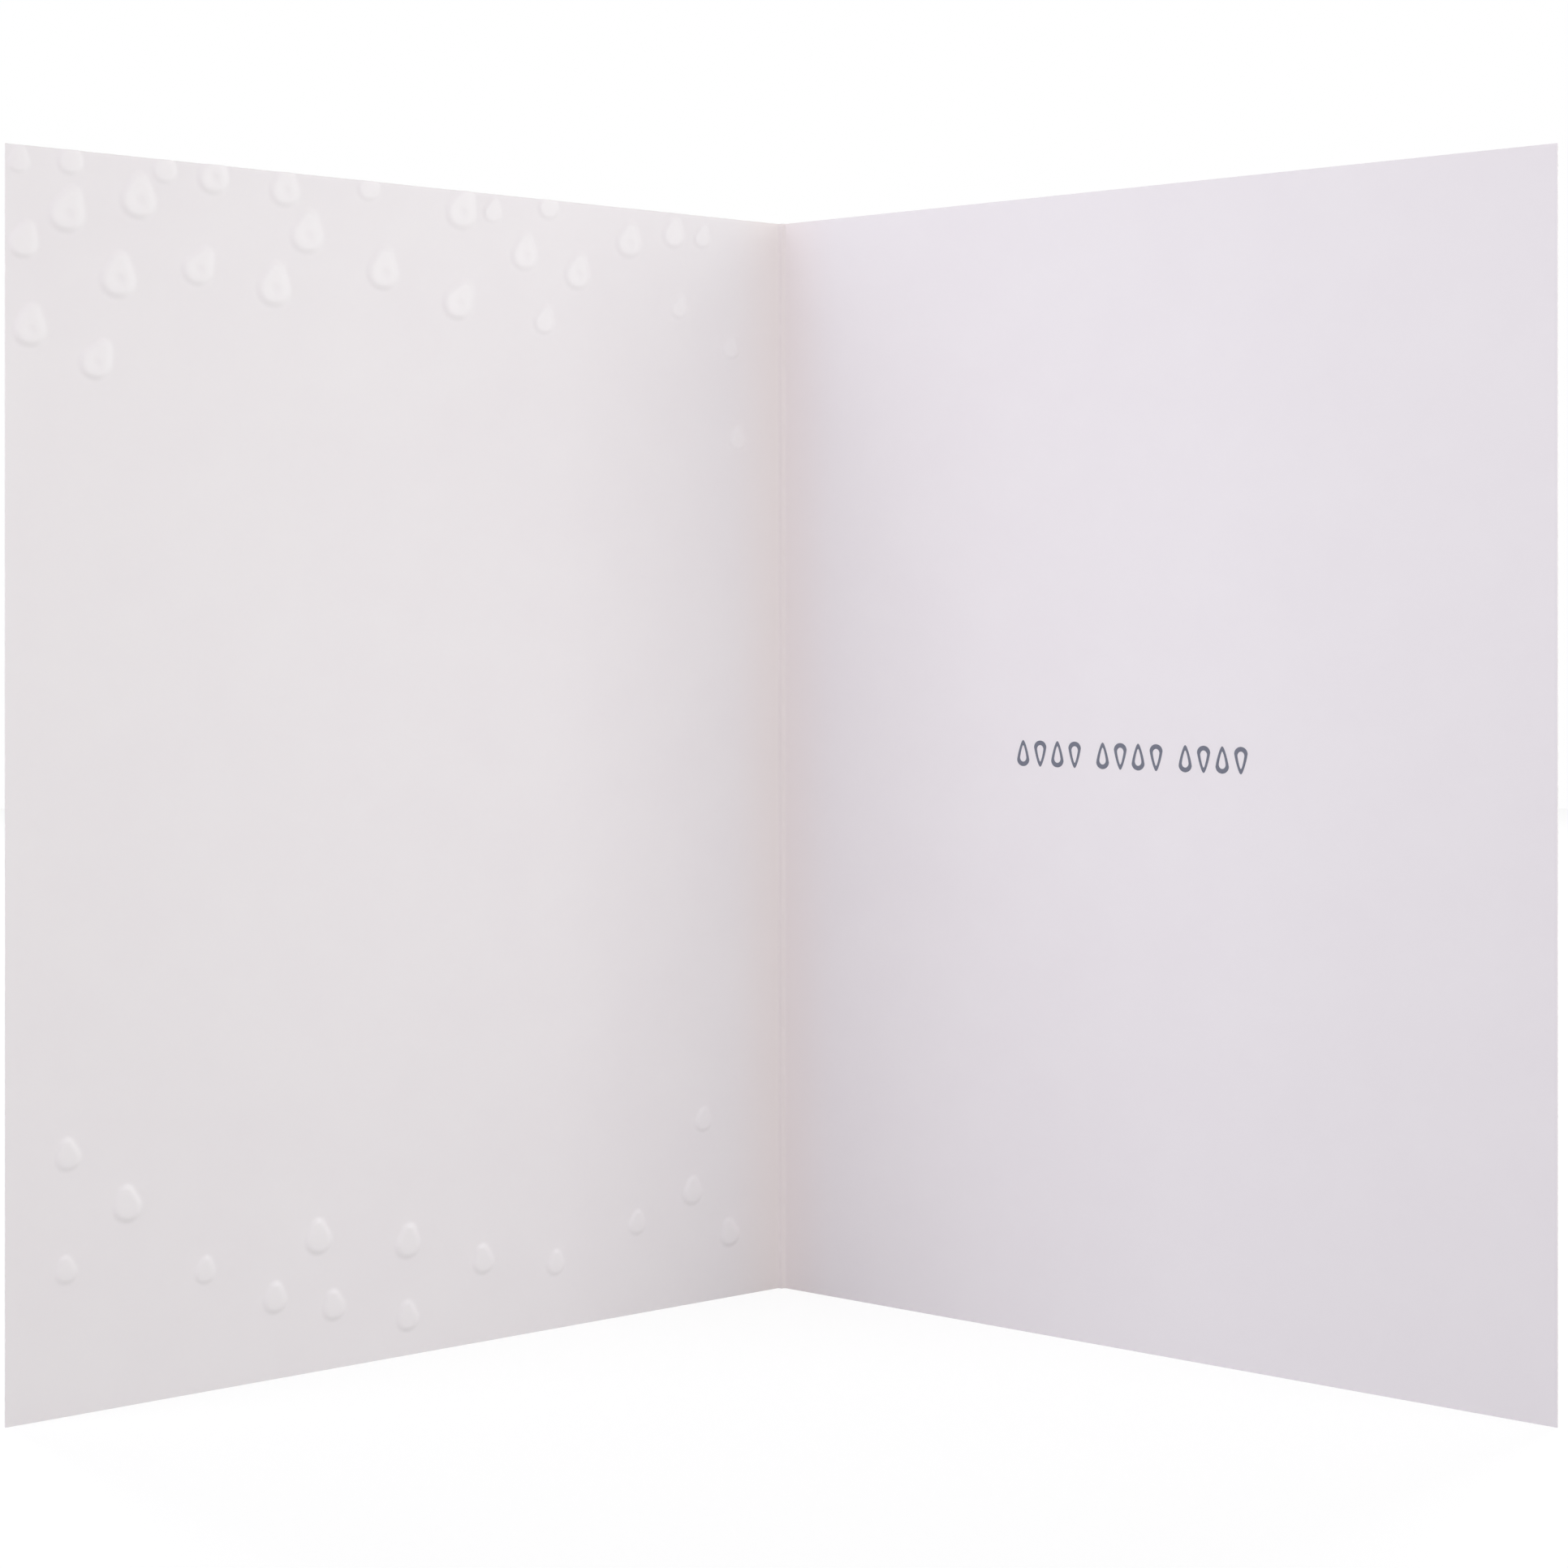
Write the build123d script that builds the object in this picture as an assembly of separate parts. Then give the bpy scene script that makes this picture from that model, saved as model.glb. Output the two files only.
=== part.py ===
"""Greeting card: one scored, folded and embossed sheet of board, standing open on its bottom edge.

The leaf on the left is the front cover, seen from inside, and the leaf on the right is the back.
Small drops are pressed into the cover from its outside. Each is sunk in the outer face and stands
out of the inner face, with the board's full thickness all round it. Between the leaves runs the
scored crease: its back is a smooth bend, and on the inside the board swells into a bead between
two hinge lines.

Frame: millimetres, +Z up, X across the card, +Y from the free edges to the fold. The origin is
the middle of the base of the box round the card.
"""

from build123d import *
from math import asin, atan2, cos, degrees, hypot, radians, sin, sqrt
import os

# The sheet. A leaf's width runs from the corner where the inner faces would meet to its free edge.
leaf_width = 127.0
card_height = 178.0
board_thickness = 0.36
opening_angle = 115.7

# The scored crease. The bead's crown is its height over the straight line between the hinge lines.
crease_width = 1.5
bead_crown = 0.15
hinge_radius = 0.12

# One embossed drop at full size, measured on the inner face of the cover: its outline there, and
# how high its fat end and its tail stand out.
drop_width = 5.4
drop_length = 7.0
tail_width = 3.4
drop_rise = 0.3
tail_rise = 0.12

# The round dish in the crown of the largest drops, from this size up, and its size at full size.
smallest_dished_size = 1.0
dish_width = 2.6
dish_depth = 0.12

# The drops along the top edge: place across the leaf as a share of its width from the fold,
# distance of the fat end's middle below the top edge, lean of the tail towards the fold in
# degrees, and size beside the full one. The first ones stand by the free edge. Some are cut by
# the top edge, because the sheet was trimmed after it was embossed.
top_drops = [
    (0.986, 2.4, 5, 0.6), (0.930, 1.7, 8, 0.7), (0.934, 9.1, 17, 1.0), (0.981, 13.7, 15, 0.8),
    (0.974, 25.7, 7, 0.9), (0.902, 29.8, 27, 0.9), (0.877, 17.8, 6, 1.0), (0.854, 6.3, 2, 1.0),
    (0.824, 1.6, 4, 0.7), (0.786, 15.4, 29, 0.9), (0.768, 2.0, 12, 0.9), (0.696, 17.4, 8, 1.0),
    (0.683, 2.8, 6, 0.9), (0.656, 9.2, 9, 1.0), (0.579, 1.2, 8, 0.7), (0.561, 13.7, 8, 1.0),
    (0.460, 3.4, 20, 1.0), (0.464, 17.4, 29, 1.0), (0.418, 3.0, 10, 0.6), (0.375, 9.2, 7, 0.9),
    (0.348, 19.4, 12, 0.7), (0.342, 1.3, 5, 0.7), (0.302, 11.5, 11, 0.9), (0.229, 5.7, 11, 0.9),
    (0.164, 3.7, 8, 0.8), (0.156, 15.6, 15, 0.6), (0.122, 3.8, 10, 0.6), (0.078, 21.6, 10, 0.6),
    (0.068, 36.6, 5, 0.6),
]

# The drops near the foot: as above, but the second value is a height above the bottom edge.
foot_drops = [
    (0.932, 36.3, -6, 0.7), (0.934, 20.2, -6, 0.6), (0.866, 28.2, -5, 0.8), (0.777, 17.2, 4, 0.6),
    (0.694, 11.5, 2, 0.7), (0.641, 19.5, -4, 0.8), (0.622, 9.0, -6, 0.7), (0.529, 16.8, 6, 0.8),
    (0.529, 5.5, -4, 0.7), (0.430, 12.3, -6, 0.7), (0.332, 10.0, 3, 0.6), (0.217, 14.3, 5, 0.6),
    (0.136, 18.0, 4, 0.7), (0.120, 29.5, 6, 0.6), (0.080, 10.2, -8, 0.7),
]

half_opening = radians(opening_angle / 2)
corner_to_hinge = crease_width / (2 * sin(half_opening))


def section_point(side, along, out):
    """Point of the card's section: along a leaf from the inner corner, and out through its board."""
    x = side * (along * sin(half_opening) + out * cos(half_opening))
    y = out * sin(half_opening) - along * cos(half_opening)
    return (x, y)


def card_section():
    """Section of the folded sheet: two flat leaves, the bend at the back and the bead inside it."""
    bend_radius = crease_width / (2 * cos(half_opening)) + board_thickness
    bend_centre = -crease_width / (2 * sin(half_opening) * cos(half_opening))
    hinge_line = -corner_to_hinge * cos(half_opening)
    left_edges = [section_point(-1, leaf_width, 0), section_point(-1, leaf_width, board_thickness)]
    right_edges = [section_point(1, leaf_width, board_thickness), section_point(1, leaf_width, 0)]
    left_bend = section_point(-1, corner_to_hinge, board_thickness)
    right_bend = section_point(1, corner_to_hinge, board_thickness)
    left_hinge = section_point(-1, corner_to_hinge, 0)
    right_hinge = section_point(1, corner_to_hinge, 0)
    outline = Polyline(left_hinge, *left_edges, left_bend)
    outline += ThreePointArc(left_bend, (0, bend_centre + bend_radius), right_bend)
    outline += Polyline(right_bend, *right_edges, right_hinge)
    outline += ThreePointArc(right_hinge, (0, hinge_line - bead_crown), left_hinge)
    section = make_face(outline)
    hinges = [
        corner for corner in section.vertices()
        if any((Vector(*hinge) - Vector(corner)).length < hinge_radius
               for hinge in (left_hinge, right_hinge))
    ]
    return fillet(hinges, hinge_radius)


def ball_radius(half_width, rise):
    """Radius of a ball that is cut by a plane in a cap of this half width and rise."""
    return (half_width ** 2 + rise ** 2) / (2 * rise)


def drop_body(size, wall):
    """Body of a drop, its surface a wall's thickness below the raised surface of the inner face.

    A large ball under the fat end and a smaller ball under the tail lie sunk in the leaf, and one
    cone round both joins them, so that only their low caps and its ridge stand out. A third ball
    dishes the crown of the largest drops. The tail points to +Y, and Z is 0 on the outer face.
    """
    rise = drop_rise * size
    fat_half, tail_half = drop_width * size / 2, tail_width * size / 2
    fat_radius = ball_radius(fat_half, rise)
    tail_radius = ball_radius(tail_half, tail_rise * size)
    reach = drop_length * size - fat_half - tail_half
    climb = (fat_radius - rise) - (tail_radius - tail_rise * size)
    between = hypot(reach, climb)
    taper = asin((fat_radius - tail_radius) / between)
    fat, tail = fat_radius - wall, tail_radius - wall

    fat_side = (fat * cos(taper), fat * sin(taper))
    tail_side = (tail * cos(taper), between + tail * sin(taper))
    profile = CenterArc((0, 0), fat, -90, 90 + degrees(taper))
    profile += Line(fat_side, tail_side)
    profile += CenterArc((0, between), tail, degrees(taper), 90 - degrees(taper))
    profile += Line((0, between + tail), (0, -fat))
    crown = board_thickness + rise
    tilt = degrees(atan2(climb, reach))
    body = Pos(0, 0, crown - fat_radius) * Rot(tilt, 0, 0) * revolve(make_face(profile), Axis.Y)

    if size >= smallest_dished_size:
        rim = dish_width * size / 2
        rim_drop = fat_radius - sqrt(fat_radius ** 2 - rim ** 2)
        dish_radius = ball_radius(rim, dish_depth * size - rim_drop)
        ball_height = crown - dish_depth * size + dish_radius
        body -= Pos(0, 0, ball_height) * Sphere(dish_radius + wall)
    return body


def cover_block(low, high, spare):
    """Block over the flat of the cover, in its own plane, that runs past the edges by spare."""
    length = leaf_width - corner_to_hinge + spare
    block = Box(length, card_height + 2 * spare, high - low, align=(Align.MIN, Align.MIN, Align.MIN))
    return Pos(-leaf_width - spare, -spare, low) * block


def emboss(card):
    """Card with every drop sunk in the cover's outer face and raised on its inner face."""
    cover_plane = Plane(
        origin=(-board_thickness * cos(half_opening), board_thickness * sin(half_opening), 0),
        x_dir=(sin(half_opening), cos(half_opening), 0),
        z_dir=(cos(half_opening), -sin(half_opening), 0),
    )
    crown = board_thickness + drop_rise
    raised_room = cover_block(board_thickness / 2, 2 * crown, 0)
    sunk_room = cover_block(-board_thickness, 2 * crown, drop_length)

    places = [(share, card_height - down, lean, size) for share, down, lean, size in top_drops]
    places += foot_drops
    sizes = sorted({size for _, _, _, size in places})
    raised_bodies = {size: drop_body(size, 0) for size in sizes}
    sunk_bodies = {size: drop_body(size, board_thickness) for size in sizes}

    raised, sunk = [], []
    for share, height, lean, size in places:
        seat = Pos(-share * leaf_width, height, 0) * Rot(0, 0, -lean)
        raised.append(cover_plane * (raised_room & (seat * raised_bodies[size])))
        sunk.append(cover_plane * (sunk_room & (seat * sunk_bodies[size])))
    return card + raised - sunk


def folded_card():
    """The whole card, moved so that the origin is the middle of its base."""
    card = emboss(extrude(card_section(), card_height))
    box = card.bounding_box()
    return Pos(-box.center().X, -box.center().Y, -box.min.Z) * card


os.makedirs("parts", exist_ok=True)
export_step(folded_card(), "parts/folded_card.step")
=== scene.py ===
"""Greeting card standing half open on a pale floor, seen from its inside.

The card is one sheet of white board. It is made here as a printer makes it: small drops are
pressed into the cover's outer face, so that they stand out of its inner face, the crease is
scored, and the sheet is folded to the angle that it stands at. The printed line on the back leaf
is a row of small drop marks.
"""

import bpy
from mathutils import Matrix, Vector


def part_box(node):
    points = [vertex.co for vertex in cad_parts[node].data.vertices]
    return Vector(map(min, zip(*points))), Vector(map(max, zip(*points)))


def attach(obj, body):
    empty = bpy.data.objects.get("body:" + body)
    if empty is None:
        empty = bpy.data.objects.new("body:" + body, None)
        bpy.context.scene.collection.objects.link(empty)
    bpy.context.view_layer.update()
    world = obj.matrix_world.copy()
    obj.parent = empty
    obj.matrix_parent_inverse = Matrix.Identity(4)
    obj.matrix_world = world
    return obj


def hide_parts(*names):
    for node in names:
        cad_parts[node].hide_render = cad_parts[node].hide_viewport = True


bl_info = {
    "name": "Greeting card",
    "version": (1, 0, 0),
    "blender": (4, 5, 0),
    "location": "View3D > Sidebar > Greeting card",
    "description": "Builds a folded, embossed greeting card and the studio that it stands in",
    "category": "Object",
}

from collections import namedtuple
from math import cos, hypot, pi, radians, sin, sqrt

import bmesh
import bpy
from mathutils import Vector

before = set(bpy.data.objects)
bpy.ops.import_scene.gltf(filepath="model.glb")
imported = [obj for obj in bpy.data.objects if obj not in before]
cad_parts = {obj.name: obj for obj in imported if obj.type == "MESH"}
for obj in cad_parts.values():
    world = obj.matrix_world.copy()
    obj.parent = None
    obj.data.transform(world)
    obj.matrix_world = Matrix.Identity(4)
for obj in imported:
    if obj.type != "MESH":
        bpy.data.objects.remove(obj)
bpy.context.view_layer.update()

MM = 0.001
CARD_NODE = "folded_card"
CARD_LOW, CARD_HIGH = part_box(CARD_NODE)
CARD_HEIGHT = CARD_HIGH.z - CARD_LOW.z

# Name of the attribute that says how far each vertex of the sheet is embossed.
EMBOSSING = "embossing"

# Metres within which a cut through the mesh uses a vertex that is there already.
CUT_TOLERANCE = 1e-7

# Drop sizes closer than this are the same, because a property holds fewer digits than a list.
SIZE_TOLERANCE = 0.001

# Share of a printed stroke that first separates the inner outline of a mark from the outer one.
HAIR = 0.01

# How strongly light bends in the fibres of the board and in dry ink.
CELLULOSE_IOR = 1.47
INK_IOR = 1.5

WHITE = (1, 1, 1, 1)

# Pixels of the photograph: its side, and how far its horizon lies below the top.
PHOTO_SIDE_PX = 1932
HORIZON_PX = 757


def linear_colour(hex_colour, alpha=1.0):
    """Scene-linear colour of an sRGB hex value."""
    channels = []
    for start in (1, 3, 5):
        value = int(hex_colour[start:start + 2], 16) / 255
        channels.append(value / 12.92 if value <= 0.04045 else ((value + 0.055) / 1.055) ** 2.4)
    return (*channels, alpha)


# The drops of the embossing: share across the leaf from the fold to the free edge, millimetres
# from the top edge or from the foot to the middle of the fat end, lean of the tail towards the
# fold in degrees, and size as a share of the full one.
TOP_DROPS = [
    (0.986, 2.4, 5, 0.6), (0.930, 1.7, 8, 0.7), (0.934, 9.1, 17, 1.0), (0.981, 13.7, 15, 0.8),
    (0.974, 25.7, 7, 0.9), (0.902, 29.8, 27, 0.9), (0.877, 17.8, 6, 1.0), (0.854, 6.3, 2, 1.0),
    (0.824, 1.6, 4, 0.7), (0.786, 15.4, 29, 0.9), (0.768, 2.0, 12, 0.9), (0.696, 17.4, 8, 1.0),
    (0.683, 2.8, 6, 0.9), (0.656, 9.2, 9, 1.0), (0.579, 1.2, 8, 0.7), (0.561, 13.7, 8, 1.0),
    (0.460, 3.4, 20, 1.0), (0.464, 17.4, 29, 1.0), (0.418, 3.0, 10, 0.6), (0.375, 9.2, 7, 0.9),
    (0.348, 19.4, 12, 0.7), (0.342, 1.3, 5, 0.7), (0.302, 11.5, 11, 0.9), (0.229, 5.7, 11, 0.9),
    (0.164, 3.7, 8, 0.8), (0.156, 15.6, 15, 0.6), (0.122, 3.8, 10, 0.6), (0.078, 21.6, 10, 0.6),
    (0.068, 36.6, 5, 0.6),
]
FOOT_DROPS = [
    (0.932, 36.3, -6, 0.7), (0.934, 20.2, -6, 0.6), (0.866, 28.2, -5, 0.8), (0.777, 17.2, 4, 0.6),
    (0.694, 11.5, 2, 0.7), (0.641, 19.5, -4, 0.8), (0.622, 9.0, -6, 0.7), (0.529, 16.8, 6, 0.8),
    (0.529, 5.5, -4, 0.7), (0.430, 12.3, -6, 0.7), (0.332, 10.0, 3, 0.6), (0.217, 14.3, 5, 0.6),
    (0.136, 18.0, 4, 0.7), (0.120, 29.5, 6, 0.6), (0.080, 10.2, -8, 0.7),
]


def length(name, description, default_mm):
    """Length property in metres, its default given in millimetres."""
    return bpy.props.FloatProperty(
        name=name, description=description, default=default_mm * MM, unit="LENGTH", precision=5
    )


def colour(name, description, default_hex):
    """Colour property, its default given as an sRGB hex value."""
    return bpy.props.FloatVectorProperty(
        name=name, description=description, default=linear_colour(default_hex), size=4,
        subtype="COLOR", min=0, max=1,
    )


class CardSizes(bpy.types.PropertyGroup):
    """Sizes of the folded sheet."""
    leaf_width: length("Leaf width", "From the inner corner of the fold to the free edge", 127)
    board: length("Board", "Thickness of the card board", 0.36)
    opening: bpy.props.FloatProperty(
        name="Opening", description="Angle between the two inner faces",
        default=radians(115.7), subtype="ANGLE",
    )
    crease_width: length("Crease width", "Between the two hinge lines of the crease", 1.5)
    bead_crown: length("Bead crown", "Height of the bead over the line between the hinges", 0.15)
    crease_strips: bpy.props.IntProperty(
        name="Crease strips", description="Strips of mesh across the bend", default=14
    )
    cell: length("Cell", "Widest cell of the sheet's mesh", 4)
    smoothing: bpy.props.FloatProperty(
        name="Smoothing", description="Widest turn between two faces that is shaded smooth",
        default=radians(35), subtype="ANGLE",
    )


class DropSizes(bpy.types.PropertyGroup):
    """Sizes of one embossed drop at full size."""
    width: length("Width", "Width of the fat end", 5.8)
    span: length("Length", "From the fat end to the tip of the tail", 7.3)
    tail_width: length("Tail width", "Width of the rounded tail", 3.6)
    rise: length("Rise", "Height of the embossing over the inner face", 0.3)
    flank: length("Flank", "Width of the slope all round the drop", 1.2)
    dish_width: length("Dish width", "Rim of the dish in the crown", 2.8)
    dish_depth: length("Dish depth", "Depth of the dish below the crown", 0.12)
    smallest_dished: bpy.props.FloatProperty(
        name="Smallest dished size", description="Smaller drops have a plain crown", default=0.9
    )
    refinements: bpy.props.IntProperty(
        name="Refinements", description="Times that the cells are halved round a drop", default=4
    )


class PrintSizes(bpy.types.PropertyGroup):
    """Sizes of the printed row on the back leaf."""
    start: length("Start", "From the fold to the first mark", 43.8)
    row_length: length("Row length", "From the first mark's edge to the last one's", 38.1)
    mark_height: length("Mark height", "Height of one printed mark", 4.1)
    mark_width: length("Mark width", "Width of one printed mark", 2.1)
    stroke: length("Stroke", "Width of a printed line", 0.5)
    end_stroke: bpy.props.FloatProperty(
        name="End stroke", description="Mean height of the ink at a mark's two ends, in strokes",
        default=1.5,
    )
    inner_middle: bpy.props.FloatProperty(
        name="Inner middle",
        description="Where the inner outline shrinks to, below the mark's middle, in strokes",
        default=0.25,
    )
    slimming: bpy.props.FloatProperty(
        name="Slimming", description="How much the tip is slimmer than a half ellipse", default=0.45
    )
    points: bpy.props.IntProperty(name="Points", description="Points round a mark", default=40)
    height: length("Height", "Middle of the row above the bottom edge", 90.9)
    film: length("Ink film", "Height of the ink over the board, drawn thick enough to show", 0.02)
    key: length("Ink key", "How far the ink reaches into the board", 0.01)
    groups: bpy.props.IntProperty(name="Groups", description="Groups of marks", default=3)
    marks: bpy.props.IntProperty(name="Marks", description="Marks in a group", default=4)
    group_gap: bpy.props.FloatProperty(
        name="Group gap", description="Extra room between groups, in steps of a mark", default=0.6
    )


class CardColours(bpy.types.PropertyGroup):
    """Colours of the board and the ink."""
    board: colour("Board", "Smooth white card board", "#E9E5E8")
    clouding: colour("Clouding", "Denser clouds in the board's pulp", "#E6E1E5")
    # The crease colour is painted shade: the board is painted darker and pinker near the fold,
    # where the other leaf shades it.
    crease: colour("Crease", "Worked fibres beside the scored crease", "#E9E1E2")
    # The pressed colour is whiter than the board: partly the flattened fibres' own tone, partly
    # painted sheen.
    pressed: colour("Pressed", "Fibres laid flat by the embossing die", "#EAE6E9")
    cut_edge: colour("Cut edge", "Open fibres of the trimmed edge", "#E3DDDC")
    ink: colour("Ink", "Slate blue offset ink", "#585B6A")
    thin_ink: colour("Thin ink", "The same ink where the board has drunk more of it", "#6A6D7C")


class FinishSizes(bpy.types.PropertyGroup):
    """Sizes of the patterns in the board and the ink, and how rough each face is.

    Single fibres are about 0.02 mm wide, which is too fine to show, so both patterns of fibres
    are drawn coarser.
    """
    cloud: length("Cloud", "Width of a cloud of denser pulp", 11)
    fibre: length("Fibre", "Fibres on a face, drawn coarse enough to show", 0.5)
    fibre_relief: length("Fibre relief", "Height of the fibres on a face", 0.004)
    cut_fibre: length("Cut fibre", "Fibre ends in a cut edge, drawn coarse enough to show", 0.12)
    cut_relief: length("Cut relief", "Height of the fibre ends in a cut edge", 0.02)
    # How far from the fold the painted crease shade reaches.
    crease_shade_reach: length("Crease reach", "From the fold to where the crease's tone ends", 10)
    uptake: length("Uptake", "Patch where the board has drunk more ink", 0.35)
    board_roughness: bpy.props.FloatProperty(
        name="Board roughness", description="Roughness of the calendered faces", default=0.6
    )
    pressed_roughness: bpy.props.FloatProperty(
        name="Pressed roughness", description="Roughness where the die has pressed", default=0.5
    )
    cut_roughness: bpy.props.FloatProperty(
        name="Cut roughness", description="Roughness of the trimmed edges", default=0.85
    )
    ink_roughness: bpy.props.FloatProperty(
        name="Ink roughness", description="Roughness of the dry ink", default=0.55
    )
    full_sheen: bpy.props.FloatProperty(
        name="Full sheen", description="Share of a drop's rise from which its sheen is full",
        default=0.3,
    )


# The softboxes: name, degrees round the card from the camera towards the right, degrees of
# elevation, watts and tint. The two behind the card light its outer faces.
SOFTBOXES = [
    ("front_low", 0, 10, 2.02, "#FFF8F3"),
    ("front_high", 0, 45, 0.66, "#FFF7FF"),
    ("right_front", 58, 8, 4.63, "#FEFFFE"),
    ("right_side", 66, 8, 1.8, "#F7FFF7"),
    ("right_far", 84, 8, 1.44, "#F7FFF7"),
    ("left_front", -58, 8, 1.91, "#FFF7FE"),
    ("left_side", -66, 8, 3.28, "#F0F8FF"),
    ("left_high", -62, 35, 2.32, "#F7F8FF"),
    ("back_right", 140, 30, 5.0, "#FFFFFF"),
    ("back_left", -140, 30, 5.4, "#FFFFFF"),
]


class StudioSettings(bpy.types.PropertyGroup):
    """Camera, floor and lights."""
    camera_distance: length("Camera distance", "From the fold to the camera", 391.6)
    camera_side: length("Camera side", "Camera's place to the right of the fold", 0.36)
    camera_height: length("Camera height", "Camera's height above the floor", 112.7)
    camera_clip: length("Camera clip", "Nearest distance that the camera sees", 10)
    lens_mm: bpy.props.FloatProperty(
        name="Lens", description="Focal length", default=53.7, unit="CAMERA"
    )
    floor: colour("Floor", "Matt studio floor", "#747474")
    floor_side: length("Floor side", "Side of the square floor", 2000)
    floor_white: bpy.props.FloatProperty(
        name="White of the floor", description="White added to the floor that is seen", default=0.84
    )
    softbox_distance: length("Softbox distance", "From the card's middle to a softbox", 1000)
    softbox_side: length("Softbox side", "Side of a square softbox", 500)
    sky: bpy.props.FloatProperty(
        name="Sky", description="Level of the white studio all round the card", default=0.2
    )


def settings():
    """The settings of the card and its studio, which the scene keeps."""
    return bpy.context.scene.greeting_card


class GreetingCardSettings(bpy.types.PropertyGroup):
    """All that a user of the card would change."""
    card: bpy.props.PointerProperty(type=CardSizes, name="Card", description="Folded sheet")
    drop: bpy.props.PointerProperty(type=DropSizes, name="Drop", description="Embossed drop")
    row: bpy.props.PointerProperty(type=PrintSizes, name="Row", description="Printed row")
    colours: bpy.props.PointerProperty(type=CardColours, name="Colours", description="Colours")
    finish: bpy.props.PointerProperty(type=FinishSizes, name="Finish", description="Finishes")
    studio: bpy.props.PointerProperty(type=StudioSettings, name="Studio", description="Studio")


def deselect_all():
    """Leaves nothing selected in object mode."""
    if bpy.context.mode != "OBJECT":
        bpy.ops.object.mode_set(mode="OBJECT")
    bpy.ops.object.select_all(action="DESELECT")


def select_faces(piece, wanted):
    """Selects, in edit mode, the faces that wanted(middle, face) picks."""
    bpy.ops.mesh.select_all(action="DESELECT")
    mesh = bmesh.from_edit_mesh(piece.data)
    for face in mesh.faces:
        face.select_set(wanted(face.calc_center_median(), face))
    bmesh.update_edit_mesh(piece.data)


def apply_modifier(piece, kind, **values):
    """Adds a modifier with its values and applies it."""
    modifier = piece.modifiers.new(kind.title(), kind)
    for name, value in values.items():
        setattr(modifier, name, value)
    bpy.ops.object.modifier_apply(modifier=modifier.name)


class Fold:
    """Geometry of the fold: where its bend starts, and how a flat sheet is laid out round it.

    The two inner faces, carried on, meet at the corner. The sheet doesn't reach it: it bends on an
    arc between the two hinge lines of the crease.
    """

    def __init__(self, card):
        # Half the opening, the angle that the sheet bends through, and its radius inside.
        self.half = card.opening / 2
        self.bend = pi - card.opening
        self.inner_radius = card.crease_width / (2 * cos(self.half))

        # Along a leaf: from the corner to its hinge line, and on the flat sheet from the fold to
        # the hinge line and to the free edge.
        self.corner_to_hinge = card.crease_width / (2 * sin(self.half))
        self.flat_hinge = self.inner_radius * self.bend / 2
        self.flat_leaf = card.leaf_width - self.corner_to_hinge + self.flat_hinge

        # Along Y: the back of the inner arc, and the corner. Then the bead's height over the arc.
        self.inner_back = CARD_HIGH.y - card.board
        self.corner_back = self.inner_back + self.inner_radius * (1 / sin(self.half) - 1)
        self.bead_rise = card.bead_crown + self.inner_radius * (1 - sin(self.half))


# A drop on the flat cover: the middle of its fat end, the turn of its tail in radians, and its
# size as a share of the full one.
DropPlace = namedtuple("DropPlace", "x z turn size")


def drop_places(card, fold):
    """Place of each drop on the flat cover."""
    rows = [(share, CARD_HEIGHT - down * MM, lean, size) for share, down, lean, size in TOP_DROPS]
    rows += [(share, up * MM, lean, size) for share, up, lean, size in FOOT_DROPS]
    # The shares start at the corner, and the flat sheet is measured from the middle of its crease.
    shift = fold.flat_hinge - fold.corner_to_hinge
    return [
        DropPlace(-(share * card.leaf_width + shift), up, -radians(lean), size)
        for share, up, lean, size in rows
    ]


class DropShape:
    """Height of one embossed drop over the leaf, from its sizes.

    Its outline is a large circle and a small one with the two lines that touch both. From there
    the board rises in a soft slope, as a die with rounded shoulders leaves it, to a level top
    with a shallow dish in its fat end.
    """

    def __init__(self, drop, size):
        self.rise = drop.rise * size
        self.flank = drop.flank * size
        self.fat_radius = drop.width * size / 2
        self.tail_radius = drop.tail_width * size / 2
        self.reach = drop.span * size - self.fat_radius - self.tail_radius
        # Sine and cosine of the angle between a straight side and the drop's middle line.
        self.narrowing = (self.fat_radius - self.tail_radius) / self.reach
        self.straight = sqrt(1 - self.narrowing ** 2)
        self.dish_radius = drop.dish_width * size / 2
        dished = size >= drop.smallest_dished - SIZE_TOLERANCE
        self.dish_depth = drop.dish_depth * size if dished else 0

    def inside(self, across, along):
        """How far inside the outline a point lies, across and along from the fat end's middle."""
        beside = self.straight * along - self.narrowing * abs(across)
        if beside < 0:
            return self.fat_radius - hypot(across, along)
        if beside > self.straight * self.reach:
            return self.tail_radius - hypot(across, along - self.reach)
        return self.fat_radius - self.straight * abs(across) - self.narrowing * along

    def height(self, across, along):
        """Height at a point across and along the drop from the middle of its fat end."""
        climb = min(max(self.inside(across, along) / self.flank, 0), 1)
        soft_climb = climb ** 2 * (3 - 2 * climb)
        hollow = max(1 - (hypot(across, along) / self.dish_radius) ** 2, 0)
        return self.rise * soft_climb - self.dish_depth * hollow ** 2


def in_drop_frame(point, place):
    """A point of the flat cover, across and along the drop at a place."""
    right = point.x - place.x
    up = point.z - place.z
    across = right * cos(place.turn) + up * sin(place.turn)
    along = up * cos(place.turn) - right * sin(place.turn)
    return across, along


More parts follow.
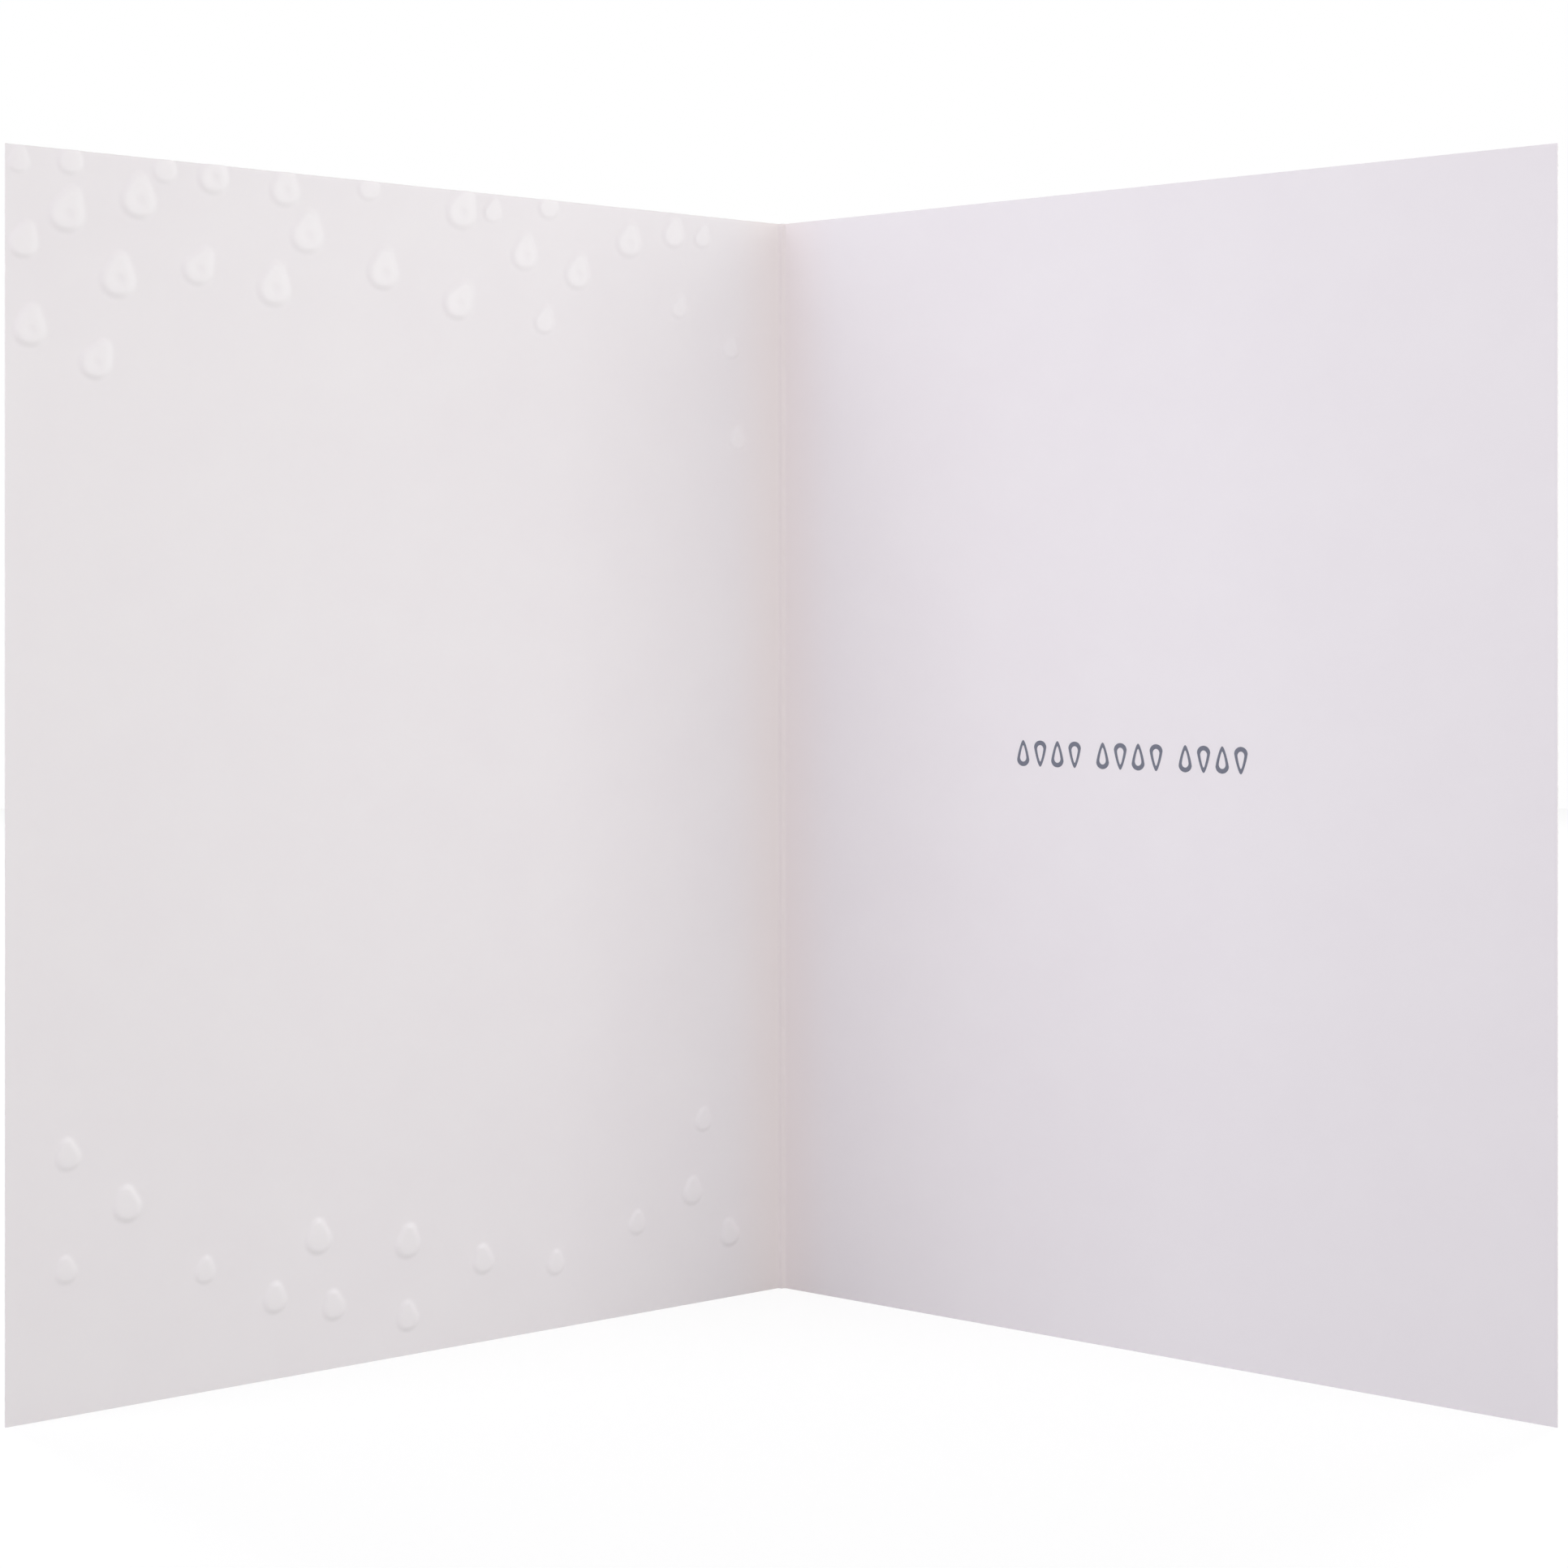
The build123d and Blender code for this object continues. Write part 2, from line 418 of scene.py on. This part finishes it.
def make_blank(card, fold):
    """The flat sheet before it is pressed: one layer of cells, standing in the XZ plane."""
    columns = 2 * round(fold.flat_leaf / card.cell)
    rows = round(CARD_HEIGHT / card.cell)
    deselect_all()
    bpy.ops.mesh.primitive_grid_add(
        x_subdivisions=columns, y_subdivisions=rows, size=1, location=(0, 0, 0)
    )
    sheet = bpy.context.object
    sheet.name = sheet.data.name = "card_sheet"
    bpy.ops.object.mode_set(mode="EDIT")
    bpy.ops.mesh.select_all(action="SELECT")
    bpy.ops.transform.resize(
        value=(2 * fold.flat_leaf, CARD_HEIGHT, 1), center_override=(0, 0, 0)
    )
    mesh = bmesh.from_edit_mesh(sheet.data)
    for vertex in mesh.verts:
        x, y, _ = vertex.co
        vertex.co = (x, 0, y + CARD_HEIGHT / 2)
    bmesh.update_edit_mesh(sheet.data)
    return sheet


def score_crease(card, fold):
    """Cuts the crease, in edit mode, into narrow strips, so that it can bend and swell."""
    step = 2 * fold.flat_hinge / card.crease_strips
    for line in range(card.crease_strips + 1):
        bpy.ops.mesh.select_all(action="SELECT")
        bpy.ops.mesh.bisect(
            plane_co=(line * step - fold.flat_hinge, 0, 0), plane_no=(1, 0, 0),
            threshold=CUT_TOLERANCE,
        )


def near_a_drop(point, drop, places, margin):
    """Whether a point of the flat cover lies in a drop or within a margin round it."""
    for place in places:
        across, along = in_drop_frame(point, place)
        half_width = drop.width * place.size / 2
        tail_end = drop.span * place.size - half_width
        outside = along - tail_end if along > 0 else -along - half_width
        if abs(across) < half_width + margin and outside < margin:
            return True
    return False


def refine_near_drops(sheet, card, drop, places):
    """Halves the cells round each drop, in edit mode, several times and each time nearer to it."""
    margin = card.cell
    for _ in range(drop.refinements):
        select_faces(sheet, lambda middle, _: near_a_drop(middle, drop, places, margin))
        bpy.ops.mesh.subdivide(number_cuts=1)
        margin /= 2


def give_thickness(card):
    """Extrudes the sheet, in edit mode, to the board's thickness, away from its inner face."""
    bpy.ops.mesh.select_all(action="SELECT")
    bpy.ops.mesh.extrude_region_move(TRANSFORM_OT_translate={"value": (0, card.board, 0)})
    bpy.ops.mesh.select_all(action="SELECT")
    bpy.ops.mesh.normals_make_consistent(inside=False)
    bpy.ops.object.mode_set(mode="OBJECT")


def press(sheet, name, strength, share_at):
    """Displaces the sheet along Y by a strength times each vertex's share. Returns the shares."""
    shares = [share_at(vertex.co) for vertex in sheet.data.vertices]
    group = sheet.vertex_groups.new(name=name)
    for index, share in enumerate(shares):
        if share > 0:
            group.add([index], share, "REPLACE")
    apply_modifier(
        sheet, "DISPLACE", direction="Y", mid_level=0, strength=strength, vertex_group=name
    )
    sheet.vertex_groups.remove(sheet.vertex_groups[name])
    return shares


def emboss_drops(sheet, drop, places):
    """Presses the drops through the cover, both faces alike, so that the board keeps its wall."""
    shapes = {size: DropShape(drop, size) for size in {place.size for place in places}}

    def share_at(point):
        highest = 0
        for place in places:
            if abs(point.x - place.x) < drop.span and abs(point.z - place.z) < drop.span:
                highest = max(highest, shapes[place.size].height(*in_drop_frame(point, place)))
        return highest / drop.rise

    shares = press(sheet, EMBOSSING, -drop.rise, share_at)
    sheet.data.attributes.new(EMBOSSING, "FLOAT", "POINT").data.foreach_set("value", shares)


def raise_bead(sheet, card, fold):
    """Swells the inside of the crease into its bead."""
    def share_at(point):
        outer_face = point.y > card.board / 2
        if abs(point.x) >= fold.flat_hinge or outer_face:
            return 0
        return cos(pi / 2 * point.x / fold.flat_hinge) ** 2

    press(sheet, "bead", -fold.bead_rise, share_at)


def trim_edges(sheet):
    """Gives the faces of the trimmed edges, which look along the sheet, the second material."""
    bpy.ops.object.mode_set(mode="EDIT")
    select_faces(sheet, lambda _, face: abs(face.normal.y) < hypot(face.normal.x, face.normal.z))
    sheet.active_material_index = 1
    bpy.ops.object.material_slot_assign()
    bpy.ops.object.mode_set(mode="OBJECT")


def fold_sheet(sheet, fold):
    """Bends the crease to the card's opening and sets the card down in its place."""
    bend_start = (fold.flat_leaf - fold.flat_hinge) / (2 * fold.flat_leaf)
    apply_modifier(
        sheet, "SIMPLE_DEFORM", deform_method="BEND", deform_axis="Z", angle=-fold.bend,
        limits=(bend_start, 1 - bend_start),
    )
    bpy.ops.object.mode_set(mode="EDIT")
    bpy.ops.mesh.select_all(action="SELECT")
    bpy.ops.transform.translate(value=(0, fold.inner_back, CARD_LOW.z))
    bpy.ops.object.mode_set(mode="OBJECT")


def put(tree, kind, inputs=None, **values):
    """Adds a node, gives it its values, and sets or links its inputs."""
    node = tree.nodes.new(kind)
    for name, value in values.items():
        setattr(node, name, value)
    for name, value in (inputs or {}).items():
        if isinstance(value, bpy.types.NodeSocket):
            tree.links.new(value, node.inputs[name])
        else:
            node.inputs[name].default_value = value
    return node


def new_material(name):
    """Empty node material, and its node tree."""
    material = bpy.data.materials.new(name)
    material.use_nodes = True
    material.node_tree.nodes.clear()
    return material, material.node_tree


def board_material(colours, finish):
    """Smooth bleached card board, calendered between rollers and left unvarnished.

    Calendering gives an even, matt white with only faint clouds of denser pulp. Where a die has
    pressed it, the fibres lie flatter and take a slight sheen, and the colour is a touch whiter:
    partly the flattened fibres' own tone, partly painted sheen.
    Near the fold the colour is painted darker and pinker, fading out over the crease reach: painted
    shade, where the other leaf keeps the side light off the board.
    """
    material, tree = new_material("calendered_card_board")
    place = put(tree, "ShaderNodeTexCoord").outputs["Object"]
    clouds = put(tree, "ShaderNodeTexNoise", {
        "Vector": place, "Scale": 1 / finish.cloud, "Detail": 3.0, "Roughness": 0.55,
    })
    tone = put(tree, "ShaderNodeMix", {
        "Factor": clouds.outputs["Fac"], "A": colours.board, "B": colours.clouding,
    }, data_type="RGBA")
    # Partly painted sheen: the embossed drops are painted a touch whiter, besides being made
    # smoother.
    pressed = put(tree, "ShaderNodeAttribute", attribute_name=EMBOSSING)
    pressed_white_and_sheen = put(tree, "ShaderNodeMix", {
        "Factor": pressed.outputs["Fac"], "A": tone.outputs["Result"], "B": colours.pressed,
    }, data_type="RGBA")
    sheen = put(tree, "ShaderNodeMapRange", {
        "Value": pressed.outputs["Fac"], "From Max": finish.full_sheen,
        "To Min": finish.board_roughness, "To Max": finish.pressed_roughness,
    })
    # Painted shade: the colour turns darker and pinker towards the fold and fades out over the
    # crease reach.
    across = put(tree, "ShaderNodeSeparateXYZ", {"Vector": place}).outputs["X"]
    from_fold = put(tree, "ShaderNodeMath", {0: across}, operation="ABSOLUTE")
    crease_shade_mask = put(tree, "ShaderNodeMapRange", {
        "Value": from_fold.outputs[0], "From Max": finish.crease_shade_reach,
        "To Min": 1.0, "To Max": 0.0,
    }, interpolation_type="SMOOTHSTEP")
    crease_shaded = put(tree, "ShaderNodeMix", {
        "Factor": crease_shade_mask.outputs["Result"], "A": pressed_white_and_sheen.outputs["Result"], "B": colours.crease,
    }, data_type="RGBA")
    fibres = put(tree, "ShaderNodeTexNoise", {
        "Vector": place, "Scale": 1 / finish.fibre, "Detail": 2.0, "Roughness": 0.6,
    })
    bump = put(tree, "ShaderNodeBump", {
        "Height": fibres.outputs["Fac"], "Distance": finish.fibre_relief, "Strength": 0.6,
    })
    surface = put(tree, "ShaderNodeBsdfPrincipled", {
        "Base Color": crease_shaded.outputs["Result"], "Roughness": sheen.outputs["Result"],
        "IOR": CELLULOSE_IOR, "Normal": bump.outputs["Normal"],
    })
    put(tree, "ShaderNodeOutputMaterial", {"Surface": surface.outputs["BSDF"]})
    return material


def cut_edge_material(colours, finish):
    """The same board where a guillotine has cut it.

    The knife leaves open fibre ends, so the edge is rougher, a little greyer and finely speckled.
    """
    material, tree = new_material("guillotine_cut_board")
    place = put(tree, "ShaderNodeTexCoord").outputs["Object"]
    fibre_ends = put(tree, "ShaderNodeTexNoise", {
        "Vector": place, "Scale": 1 / finish.cut_fibre, "Detail": 2.0, "Roughness": 0.7,
    })
    tone = put(tree, "ShaderNodeMix", {
        "Factor": fibre_ends.outputs["Fac"], "A": colours.cut_edge, "B": colours.board,
    }, data_type="RGBA")
    bump = put(tree, "ShaderNodeBump", {
        "Height": fibre_ends.outputs["Fac"], "Distance": finish.cut_relief, "Strength": 0.7,
    })
    surface = put(tree, "ShaderNodeBsdfPrincipled", {
        "Base Color": tone.outputs["Result"], "Roughness": finish.cut_roughness,
        "IOR": CELLULOSE_IOR, "Normal": bump.outputs["Normal"],
    })
    put(tree, "ShaderNodeOutputMaterial", {"Surface": surface.outputs["BSDF"]})
    return material


def ink_material(colours, finish):
    """Slate blue offset ink, laid on uncoated board.

    The board drinks part of the thin film, so the ink dries matt and a little uneven in depth.
    """
    material, tree = new_material("offset_ink")
    place = put(tree, "ShaderNodeTexCoord").outputs["Object"]
    uptake = put(tree, "ShaderNodeTexNoise", {
        "Vector": place, "Scale": 1 / finish.uptake, "Detail": 2.0, "Roughness": 0.6,
    })
    tone = put(tree, "ShaderNodeMix", {
        "Factor": uptake.outputs["Fac"], "A": colours.ink, "B": colours.thin_ink,
    }, data_type="RGBA")
    surface = put(tree, "ShaderNodeBsdfPrincipled", {
        "Base Color": tone.outputs["Result"], "Roughness": finish.ink_roughness, "IOR": INK_IOR,
    })
    put(tree, "ShaderNodeOutputMaterial", {"Surface": surface.outputs["BSDF"]})
    return material


class CARD_OT_folded_card(bpy.types.Operator):
    """Make the embossed, scored and folded sheet of board"""
    bl_idname = "greeting_card.folded_card"
    bl_label = "Folded card"

    def execute(self, context):
        card, drop = settings().card, settings().drop
        colours, finish = settings().colours, settings().finish
        fold = Fold(card)
        places = drop_places(card, fold)
        sheet = make_blank(card, fold)
        refine_near_drops(sheet, card, drop, places)
        score_crease(card, fold)
        give_thickness(card)
        sheet.data.materials.append(board_material(colours, finish))
        sheet.data.materials.append(cut_edge_material(colours, finish))
        trim_edges(sheet)
        emboss_drops(sheet, drop, places)
        raise_bead(sheet, card, fold)
        fold_sheet(sheet, fold)
        bpy.ops.object.shade_smooth_by_angle(angle=card.smoothing)
        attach(sheet, "root")
        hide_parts(CARD_NODE)
        return {"FINISHED"}


def make_mark(row):
    """One printed mark: the outline of a slim drop, lying in the XY plane with its tip at +Y.

    An inset starts its inner outline as a hair inside the outer one, and a resize then gives the
    ink its width.
    """
    half_width = row.mark_width / 2
    stretch = row.mark_height - row.mark_width
    bpy.ops.mesh.primitive_circle_add(
        vertices=row.points, radius=half_width, fill_type="NGON", location=(0, 0, 0)
    )
    mark = bpy.context.object
    bpy.ops.object.mode_set(mode="EDIT")
    mesh = bmesh.from_edit_mesh(mark.data)
    for vertex in mesh.verts:
        upward = max(vertex.co.y / half_width, 0)
        vertex.co.x *= 1 - row.slimming * upward
        vertex.co.y += upward * stretch - stretch / 2
    bmesh.update_edit_mesh(mark.data)
    bpy.ops.mesh.select_all(action="SELECT")
    bpy.ops.mesh.inset(thickness=HAIR * row.stroke)
    inner_width = 1 - 2 * row.stroke / row.mark_width
    inner_height = 1 - 2 * row.end_stroke * row.stroke / row.mark_height
    bpy.ops.transform.resize(
        value=(inner_width, inner_height, 1),
        center_override=(0, -row.inner_middle * row.stroke, 0),
    )
    bpy.ops.mesh.delete(type="FACE")
    bpy.ops.mesh.select_all(action="SELECT")
    bpy.ops.transform.translate(value=(0, 0, -row.key))
    bpy.ops.mesh.extrude_region_move(TRANSFORM_OT_translate={"value": (0, 0, row.key + row.film)})
    bpy.ops.mesh.select_all(action="SELECT")
    bpy.ops.mesh.normals_make_consistent(inside=False)
    bpy.ops.object.mode_set(mode="OBJECT")
    return mark


def bake_place(obj):
    """Puts an object's place, turn and scale into its mesh."""
    deselect_all()
    obj.select_set(True)
    bpy.context.view_layer.objects.active = obj
    bpy.ops.object.transform_apply(location=True, rotation=True, scale=True)


class CARD_OT_printed_row(bpy.types.Operator):
    """Make the printed row of slim drop marks on the back leaf"""
    bl_idname = "greeting_card.printed_row"
    bl_label = "Printed row"

    def execute(self, context):
        row, card = settings().row, settings().card
        fold = Fold(card)
        deselect_all()
        mark = make_mark(row)
        mark.data.materials.append(ink_material(settings().colours, settings().finish))
        steps = row.groups * row.marks - 1 + (row.groups - 1) * row.group_gap
        pitch = (row.row_length - row.mark_width) / steps
        marks = []
        for index in range(row.groups * row.marks):
            copy = mark.copy()
            copy.data = mark.data.copy()
            context.collection.objects.link(copy)
            step = index + (index // row.marks) * row.group_gap
            # Every second mark stands on its tip.
            copy.rotation_euler = (pi / 2, pi * (index % 2), 0)
            copy.location = (row.start + row.mark_width / 2 + step * pitch, 0, row.height)
            marks.append(copy)
        bpy.data.objects.remove(mark)
        for copy in marks:
            bake_place(copy)
        for copy in marks:
            copy.select_set(True)
        context.view_layer.objects.active = marks[0]
        bpy.ops.object.join()
        printed = context.object
        printed.name = printed.data.name = "printed_row"
        # From the XZ plane onto the back leaf's inner face, round the corner of the fold.
        printed.rotation_euler = (0, 0, fold.half - pi / 2)
        printed.location = (0, fold.corner_back, CARD_LOW.z)
        bake_place(printed)
        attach(printed, "root")
        return {"FINISHED"}


def aim(lamp, target):
    """Turns a lamp towards a point."""
    lamp.rotation_mode = "QUATERNION"
    lamp.rotation_quaternion = (target - lamp.location).to_track_quat("-Z", "Y")


def softbox(name, studio, direction, target, watts, tint):
    """Square area lamp that stands for a softbox, in a direction from its target."""
    bpy.ops.object.light_add(type="AREA", location=target + direction * studio.softbox_distance)
    lamp = bpy.context.object
    lamp.name = name
    lamp.data.shape = "SQUARE"
    lamp.data.size = studio.softbox_side
    lamp.data.energy = watts
    lamp.data.color = linear_colour(tint)[:3]
    aim(lamp, target)


def seen_rays(tree):
    """Socket that is 1 on rays that show what they meet: from the camera, a mirror or glass."""
    rays = put(tree, "ShaderNodeLightPath")
    seen = rays.outputs["Is Camera Ray"]
    for kind in ("Is Glossy Ray", "Is Transmission Ray"):
        either = put(tree, "ShaderNodeMath", {0: seen, 1: rays.outputs[kind]}, operation="MAXIMUM")
        seen = either.outputs[0]
    return seen


def floor_material(studio):
    """Matt studio floor, seen as white apart from the card's faint shadow on it."""
    material, tree = new_material("matt_studio_floor")
    matt = put(tree, "ShaderNodeBsdfDiffuse", {"Color": studio.floor})
    glow = put(tree, "ShaderNodeMath", {
        0: seen_rays(tree), 1: studio.floor_white,
    }, operation="MULTIPLY")
    white = put(tree, "ShaderNodeEmission", {"Color": WHITE, "Strength": glow.outputs[0]})
    both = put(tree, "ShaderNodeAddShader", {0: matt.outputs[0], 1: white.outputs[0]})
    put(tree, "ShaderNodeOutputMaterial", {"Surface": both.outputs[0]})
    return material


def studio_white(studio):
    """White studio round the floor: seen as pure white, and dimmer as a light."""
    world = bpy.data.worlds.new("studio_white")
    world.use_nodes = True
    tree = world.node_tree
    tree.nodes.clear()
    level = put(tree, "ShaderNodeMapRange", {
        "Value": seen_rays(tree), "To Min": studio.sky, "To Max": 1.0,
    })
    sky = put(tree, "ShaderNodeBackground", {
        "Color": WHITE, "Strength": level.outputs["Result"],
    })
    put(tree, "ShaderNodeOutputWorld", {"Surface": sky.outputs["Background"]})
    return world


class CARD_OT_studio(bpy.types.Operator):
    """Make the floor, the lights and the camera"""
    bl_idname = "greeting_card.studio"
    bl_label = "Studio"

    def execute(self, context):
        studio = settings().studio
        fold = Fold(settings().card)
        deselect_all()
        bpy.ops.mesh.primitive_plane_add(size=studio.floor_side, location=(0, 0, CARD_LOW.z))
        floor = context.object
        floor.name = "studio_floor"
        floor.data.materials.append(floor_material(studio))

        middle = Vector((0, 0, CARD_LOW.z + CARD_HEIGHT / 2))
        for name, azimuth, elevation, watts, tint in SOFTBOXES:
            across, up = radians(azimuth), radians(elevation)
            direction = Vector((sin(across) * cos(up), -cos(across) * cos(up), sin(up)))
            softbox(f"softbox_{name}", studio, direction, middle, watts, tint)
        context.scene.world = studio_white(studio)

        place = (
            studio.camera_side,
            fold.corner_back - studio.camera_distance,
            CARD_LOW.z + studio.camera_height,
        )
        bpy.ops.object.camera_add(location=place, rotation=(pi / 2, 0, 0))
        camera = context.object
        camera.name = "studio_camera"
        camera.data.lens = studio.lens_mm
        camera.data.shift_y = (HORIZON_PX - PHOTO_SIDE_PX / 2) / PHOTO_SIDE_PX
        camera.data.clip_start = studio.camera_clip
        context.scene.camera = camera
        context.scene.view_settings.view_transform = "Standard"
        return {"FINISHED"}


class CARD_PT_panel(bpy.types.Panel):
    """Lists the card's pieces and its studio"""
    bl_idname = "CARD_PT_panel"
    bl_label = "Greeting card"
    bl_space_type = "VIEW_3D"
    bl_region_type = "UI"
    bl_category = "Greeting card"

    def draw(self, context):
        for operator in PIECES:
            self.layout.operator(operator.bl_idname)


PIECES = (CARD_OT_folded_card, CARD_OT_printed_row, CARD_OT_studio)
CLASSES = (
    CardSizes, DropSizes, PrintSizes, CardColours, FinishSizes, StudioSettings,
    GreetingCardSettings, *PIECES, CARD_PT_panel,
)


def register():
    """Registers the classes and hangs the settings on the scene."""
    for item in CLASSES:
        bpy.utils.register_class(item)
    bpy.types.Scene.greeting_card = bpy.props.PointerProperty(type=GreetingCardSettings)


def unregister():
    """Takes the settings and the classes away again."""
    del bpy.types.Scene.greeting_card
    for item in reversed(CLASSES):
        bpy.utils.unregister_class(item)


def main():
    """Builds the card and its studio."""
    register()
    bpy.ops.greeting_card.folded_card()
    bpy.ops.greeting_card.printed_row()
    bpy.ops.greeting_card.studio()


if __name__ == "__main__":
    main()
